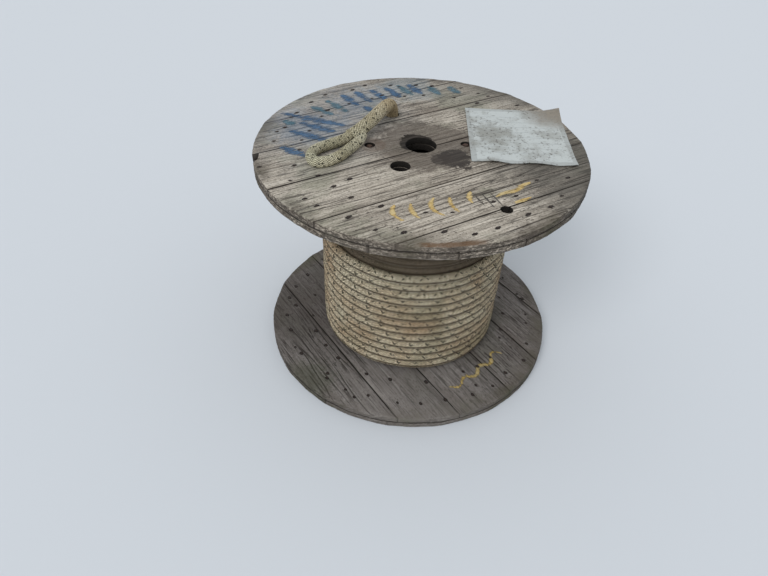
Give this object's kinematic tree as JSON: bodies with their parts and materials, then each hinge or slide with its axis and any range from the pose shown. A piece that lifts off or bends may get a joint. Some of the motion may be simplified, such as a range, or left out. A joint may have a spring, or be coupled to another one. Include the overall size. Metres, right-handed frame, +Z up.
{
  "type": "wooden cable drum",
  "caption": "Wooden cable drum with crosswise board flanges on a stave barrel, wound with thick braided rope that ends in a spliced eye on top, with a bare document sleeve, standing on its end.",
  "frame": {"origin": "middle of the lower flange's underside, on the drum's axis, at floor level", "axes": "+Z up along the drum's axis, +X to the right and +Y away from the viewer in the picture"},
  "size_m": [0.813, 0.813, 0.6482],
  "materials": {
    "flange_wood": "matte",
    "lower_flange_wood": "matte",
    "barrel_wood": "matte",
    "rusty_steel": "matte",
    "rope": "matte",
    "eye_rope": "matte",
    "sleeve_film": "gloss"
  },
  "bodies": {
    "root": {"barrel_stave_1": "barrel_wood", "barrel_stave_10": "barrel_wood", "barrel_stave_11": "barrel_wood", "barrel_stave_12": "barrel_wood", "barrel_stave_2": "barrel_wood", "barrel_stave_3": "barrel_wood", "barrel_stave_4": "barrel_wood", "barrel_stave_5": "barrel_wood", "barrel_stave_6": "barrel_wood", "barrel_stave_7": "barrel_wood", "barrel_stave_8": "barrel_wood", "barrel_stave_9": "barrel_wood", "document_sleeve": "sleeve_film", "eye_loop": "eye_rope", "eye_splice": "eye_rope", "lower_inner_board_1": "lower_flange_wood", "lower_inner_board_2": "lower_flange_wood", "lower_inner_board_3": "lower_flange_wood", "lower_inner_board_4": "lower_flange_wood", "lower_inner_board_5": "lower_flange_wood", "lower_inner_board_6": "lower_flange_wood", "lower_outer_board_1": "lower_flange_wood", "lower_outer_board_2": "lower_flange_wood", "lower_outer_board_3": "lower_flange_wood", "lower_outer_board_4": "lower_flange_wood", "lower_outer_board_5": "lower_flange_wood", "lower_outer_board_6": "lower_flange_wood", "rope_package": "rope", "tie_rod_1": "rusty_steel", "tie_rod_2": "rusty_steel", "upper_inner_board_1": "flange_wood", "upper_inner_board_2": "flange_wood", "upper_inner_board_3": "flange_wood", "upper_inner_board_4": "flange_wood", "upper_inner_board_5": "flange_wood", "upper_inner_board_6": "flange_wood", "upper_outer_board_1": "flange_wood", "upper_outer_board_2": "flange_wood", "upper_outer_board_3": "flange_wood", "upper_outer_board_4": "flange_wood", "upper_outer_board_5": "flange_wood", "upper_outer_board_6": "flange_wood"}
  },
  "joints": []
}
